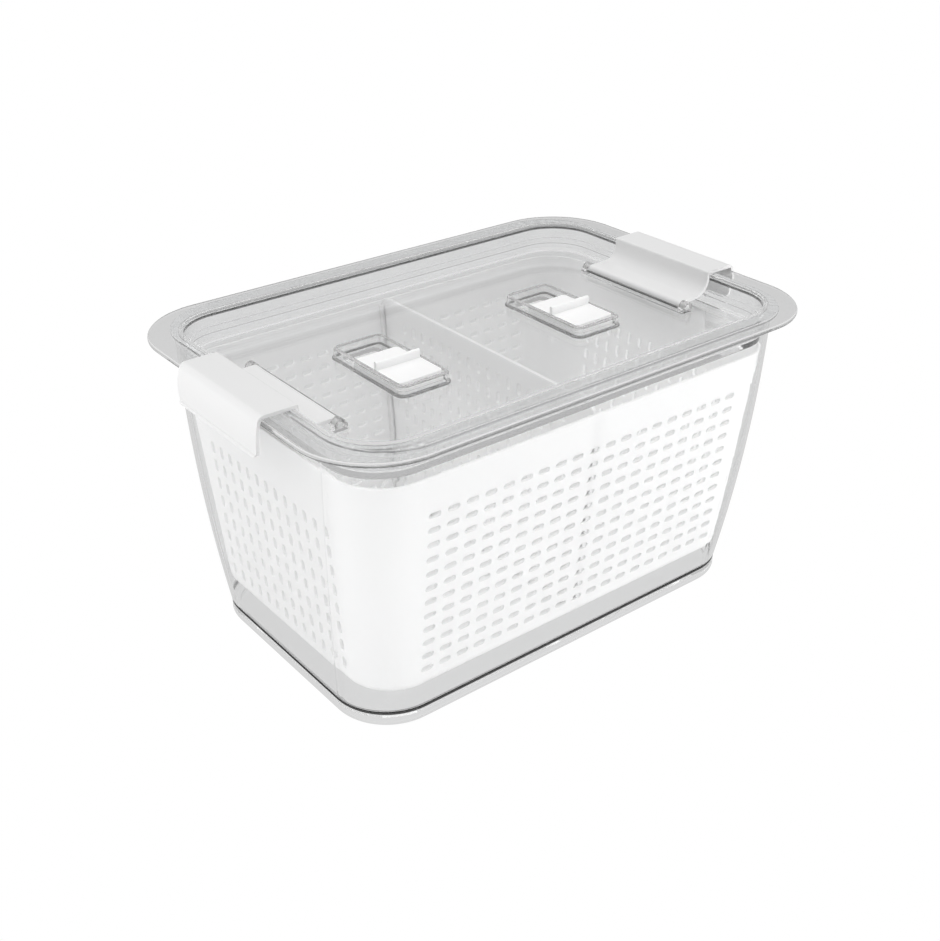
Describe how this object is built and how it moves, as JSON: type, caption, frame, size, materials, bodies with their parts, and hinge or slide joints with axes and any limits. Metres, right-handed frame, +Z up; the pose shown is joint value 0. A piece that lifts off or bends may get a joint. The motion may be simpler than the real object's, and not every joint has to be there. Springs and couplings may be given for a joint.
{
  "type": "fridge organizer bin",
  "caption": "Clear bin with a latching vented lid, a white perforated basket inside and a divider.",
  "frame": {"origin": "centre of the foot, on the surface that the bin stands on", "axes": "+X along the long side towards the right latch, +Y towards the back, +Z up"},
  "size_m": [0.3294, 0.223, 0.1768],
  "materials": {
    "clear_plastic": "clear, glossy",
    "white_plastic": "satin"
  },
  "bodies": {
    "tub": {"tub": "clear_plastic"},
    "lid": {"lid": "clear_plastic"},
    "basket": {"basket": "white_plastic"},
    "divider": {"divider": "white_plastic"},
    "latch_left": {"latch_left": "white_plastic"},
    "latch_right": {"latch_right": "white_plastic"},
    "vent_shutter_left": {"vent_shutter_left": "white_plastic"},
    "vent_shutter_right": {"vent_shutter_right": "white_plastic"}
  },
  "joints": [
    {"name": "lid_lift", "type": "slide", "parent": "tub", "child": "lid", "axis": [0, 0, 1], "range_m": [0, 0.38]},
    {"name": "basket_lift", "type": "slide", "parent": "tub", "child": "basket", "axis": [0, 0, 1], "range_m": [0, 0.19]},
    {"name": "divider_lift", "type": "slide", "parent": "basket", "child": "divider", "axis": [0, 0, 1], "range_m": [0, 0.16]},
    {"name": "latch_left_hinge", "type": "hinge", "parent": "lid", "child": "latch_left", "pos_m": [-0.1199, 0, 0.1611], "axis": [0, 1, 0], "range_deg": [0, 105]},
    {"name": "latch_right_hinge", "type": "hinge", "parent": "lid", "child": "latch_right", "pos_m": [0.1199, 0, 0.1611], "axis": [0, -1, 0], "range_deg": [0, 105]},
    {"name": "vent_left_slide", "type": "slide", "parent": "lid", "child": "vent_shutter_left", "axis": [0, 1, 0], "range_m": [-0.0029, 0.017]},
    {"name": "vent_right_slide", "type": "slide", "parent": "lid", "child": "vent_shutter_right", "axis": [0, 1, 0], "range_m": [-0.0029, 0.017]}
  ],
  "couplings": [
    {"joint": "basket_lift", "follows": "lid_lift", "ratio": 0.5},
    {"joint": "divider_lift", "follows": "lid_lift", "ratio": 0.42105}
  ]
}
